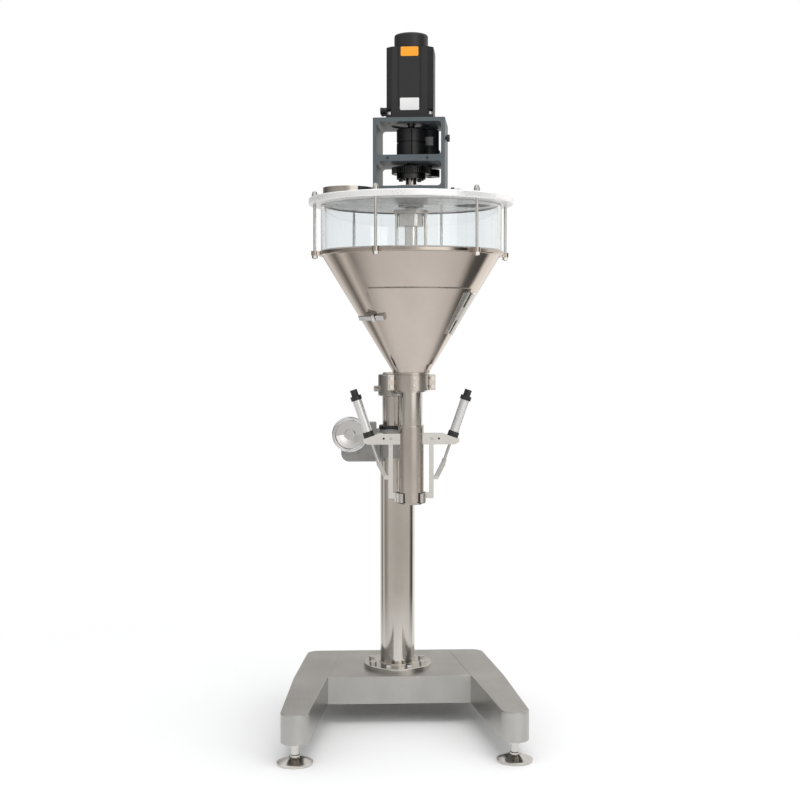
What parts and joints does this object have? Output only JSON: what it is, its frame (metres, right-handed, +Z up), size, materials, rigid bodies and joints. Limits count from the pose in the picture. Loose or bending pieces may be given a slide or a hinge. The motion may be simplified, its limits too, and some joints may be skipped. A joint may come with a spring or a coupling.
{
  "type": "auger powder filler",
  "caption": "Free-standing auger powder filler: U-shaped base on levelling feet, lift column with handwheel, clear-topped cone hopper with stirrer, servo auger drive and air-driven bag clamp.",
  "frame": {"origin": "on the floor, at the centre of the footprint of the base and its foot pads", "axes": "+Z up along the height, -Y towards the operator at the open end of the base, +X to the operator's right"},
  "size_m": [0.676, 0.7214, 1.948],
  "materials": {
    "auger": "polished stainless",
    "base_arm_left": "brushed stainless",
    "base_arm_right": "brushed stainless",
    "base_crossbar": "brushed stainless",
    "bearing_housing": "machined",
    "clamp_arms": "polished stainless",
    "clamp_jaw_left": "polished stainless",
    "clamp_jaw_right": "polished stainless",
    "clamp_link_left": "polished stainless",
    "clamp_link_right": "polished stainless",
    "clamp_rod_left": "polished stainless",
    "clamp_rod_right": "polished stainless",
    "collar_cap": "polished stainless",
    "column_bolts": "polished stainless",
    "column_flange": "polished stainless",
    "column_guide": "black",
    "column_tube": "polished stainless",
    "cylinder_barrels": "satin anodised",
    "cylinder_caps": "black",
    "cylinder_gaskets": "pale silicone",
    "door_seal": "pale silicone",
    "drive_base_plate": "black anodised",
    "drive_frame": "slate grey paint",
    "filler_tube": "polished stainless",
    "foot_front_left": "polished stainless",
    "foot_front_right": "polished stainless",
    "foot_nuts": "polished stainless",
    "foot_rear_left": "polished stainless",
    "foot_rear_right": "polished stainless",
    "handwheel": "polished chrome",
    "head_arm": "polished stainless",
    "head_bolts": "steel",
    "hinge_leaf_door": "polished stainless",
    "hinge_leaf_fixed": "polished stainless",
    "hopper_cone": "polished stainless",
    "hopper_cylinder": "clear acrylic",
    "hopper_door": "polished stainless",
    "inlet_spigot": "polished stainless",
    "inspection_cover": "black",
    "jaw_pivot_pins": "polished stainless",
    "jaw_rubber_left": "black rubber",
    "jaw_rubber_right": "black rubber",
    "latch_base": "polished stainless",
    "latch_keeper": "polished stainless",
    "latch_lever": "polished stainless",
    "lid": "satin",
    "lift_gearbox": "grey housing",
    "lift_tube": "polished stainless",
    "quill_bearings": "polished stainless",
    "servo_motor": "satin black",
    "shaft_bushes": "bronze",
    "shaft_coupling": "black",
    "spout_sleeve": "polished stainless",
    "stirrer": "polished stainless",
    "stirrer_gear": "blackened steel",
    "stirrer_hub": "polished stainless",
    "stirrer_motor": "dark grey",
    "stirrer_pinion": "blackened steel",
    "tie_rods": "polished stainless",
    "tube_hub": "polished stainless"
  },
  "bodies": {
    "base": {"base_arm_left": "base_arm_left", "base_arm_right": "base_arm_right", "base_crossbar": "base_crossbar", "foot_nuts": "foot_nuts", "column_flange": "column_flange", "column_bolts": "column_bolts", "column_tube": "column_tube", "column_guide": "column_guide", "lift_gearbox": "lift_gearbox"},
    "head": {"bearing_housing": "bearing_housing", "clamp_arms": "clamp_arms", "collar_cap": "collar_cap", "cylinder_barrels": "cylinder_barrels", "cylinder_caps": "cylinder_caps", "cylinder_gaskets": "cylinder_gaskets", "drive_base_plate": "drive_base_plate", "drive_frame": "drive_frame", "filler_tube": "filler_tube", "head_arm": "head_arm", "head_bolts": "head_bolts", "hinge_leaf_fixed": "hinge_leaf_fixed", "hopper_cone": "hopper_cone", "hopper_cylinder": "hopper_cylinder", "inlet_spigot": "inlet_spigot", "jaw_pivot_pins": "jaw_pivot_pins", "latch_base": "latch_base", "lid": "lid", "lift_tube": "lift_tube", "quill_bearings": "quill_bearings", "servo_motor": "servo_motor", "spout_sleeve": "spout_sleeve", "stirrer_motor": "stirrer_motor", "tie_rods": "tie_rods", "tube_hub": "tube_hub"},
    "foot_front_left": {"foot_front_left": "foot_front_left"},
    "foot_front_right": {"foot_front_right": "foot_front_right"},
    "foot_rear_left": {"foot_rear_left": "foot_rear_left"},
    "foot_rear_right": {"foot_rear_right": "foot_rear_right"},
    "handwheel": {"handwheel": "handwheel"},
    "auger": {"auger": "auger", "shaft_coupling": "shaft_coupling"},
    "stirrer": {"stirrer_hub": "stirrer_hub", "stirrer": "stirrer", "shaft_bushes": "shaft_bushes", "stirrer_gear": "stirrer_gear"},
    "pinion": {"stirrer_pinion": "stirrer_pinion"},
    "door": {"hopper_door": "hopper_door", "door_seal": "door_seal", "hinge_leaf_door": "hinge_leaf_door", "latch_keeper": "latch_keeper"},
    "latch_lever": {"latch_lever": "latch_lever"},
    "inspection_cover": {"inspection_cover": "inspection_cover"},
    "jaw_left": {"clamp_jaw_left": "clamp_jaw_left", "jaw_rubber_left": "jaw_rubber_left"},
    "rod_left": {"clamp_rod_left": "clamp_rod_left"},
    "link_left": {"clamp_link_left": "clamp_link_left"},
    "jaw_right": {"clamp_jaw_right": "clamp_jaw_right", "jaw_rubber_right": "jaw_rubber_right"},
    "rod_right": {"clamp_rod_right": "clamp_rod_right"},
    "link_right": {"clamp_link_right": "clamp_link_right"}
  },
  "joints": [
    {"name": "level_front_left", "type": "slide", "parent": "base", "child": "foot_front_left", "axis": [0, 0, 1], "range_m": [-0.02, 0.02]},
    {"name": "level_front_right", "type": "slide", "parent": "base", "child": "foot_front_right", "axis": [0, 0, 1], "range_m": [-0.02, 0.02]},
    {"name": "level_rear_left", "type": "slide", "parent": "base", "child": "foot_rear_left", "axis": [0, 0, 1], "range_m": [-0.02, 0.02]},
    {"name": "level_rear_right", "type": "slide", "parent": "base", "child": "foot_rear_right", "axis": [0, 0, 1], "range_m": [-0.02, 0.02]},
    {"name": "head_lift", "type": "slide", "parent": "base", "child": "head", "axis": [0, 0, 1], "range_m": [-0.07, 0.15]},
    {"name": "handwheel_turn", "type": "hinge", "parent": "base", "child": "handwheel", "pos_m": [-0.141, 0.11175, 0.834], "axis": [0, -1, 0], "range_deg": [-505, 1081]},
    {"name": "auger_spin", "type": "hinge", "parent": "head", "child": "auger", "pos_m": [0.02815, -0.06153, 1.2], "axis": [0, 0, 1], "continuous": true},
    {"name": "stirrer_spin", "type": "hinge", "parent": "head", "child": "stirrer", "pos_m": [0.02815, -0.06153, 1.4], "axis": [0, 0, 1], "continuous": true},
    {"name": "pinion_spin", "type": "hinge", "parent": "head", "child": "pinion", "pos_m": [0.08331, -0.00637, 1.568], "axis": [0, 0, 1], "continuous": true},
    {"name": "door_hinge", "type": "hinge", "parent": "head", "child": "door", "pos_m": [0.16199, -0.14646, 1.18032], "axis": [0.439, -0.2786, 0.8542], "range_deg": [0, 110]},
    {"name": "latch_hinge", "type": "hinge", "parent": "head", "child": "latch_lever", "pos_m": [-0.07995, -0.1727, 1.17028], "axis": [-0.3377, -0.3954, 0.8542], "range_deg": [0, 95]},
    {"name": "cover_lift", "type": "slide", "parent": "head", "child": "inspection_cover", "axis": [0, 0, 1], "range_m": [0, 0.06]},
    {"name": "jaw_left_pivot", "type": "hinge", "parent": "head", "child": "jaw_left", "pos_m": [-0.02885, -0.06153, 0.836], "axis": [0, 1, 0], "range_deg": [0, 14]},
    {"name": "rod_left_slide", "type": "slide", "parent": "head", "child": "rod_left", "axis": [-0.3256, 0, 0.9455], "range_m": [0, 0.0122]},
    {"name": "link_left_pin", "type": "hinge", "parent": "rod_left", "child": "link_left", "pos_m": [-0.06099, -0.06153, 0.76299], "axis": [0, 1, 0], "range_deg": [0, 33]},
    {"name": "jaw_right_pivot", "type": "hinge", "parent": "head", "child": "jaw_right", "pos_m": [0.08515, -0.06153, 0.836], "axis": [0, -1, 0], "range_deg": [0, 14]},
    {"name": "rod_right_slide", "type": "slide", "parent": "head", "child": "rod_right", "axis": [0.3256, 0, 0.9455], "range_m": [0, 0.0122]},
    {"name": "link_right_pin", "type": "hinge", "parent": "rod_right", "child": "link_right", "pos_m": [0.11729, -0.06153, 0.76299], "axis": [0, -1, 0], "range_deg": [0, 33]}
  ],
  "couplings": [
    {"joint": "handwheel_turn", "follows": "head_lift", "rad_per_m": 125.66},
    {"joint": "pinion_spin", "follows": "stirrer_spin", "ratio": -2},
    {"joint": "rod_left_slide", "follows": "jaw_left_pivot", "m_per_rad": 0.049214},
    {"joint": "link_left_pin", "follows": "jaw_left_pivot", "ratio": 2.3295},
    {"joint": "rod_right_slide", "follows": "jaw_right_pivot", "m_per_rad": 0.049214},
    {"joint": "link_right_pin", "follows": "jaw_right_pivot", "ratio": 2.3295}
  ]
}
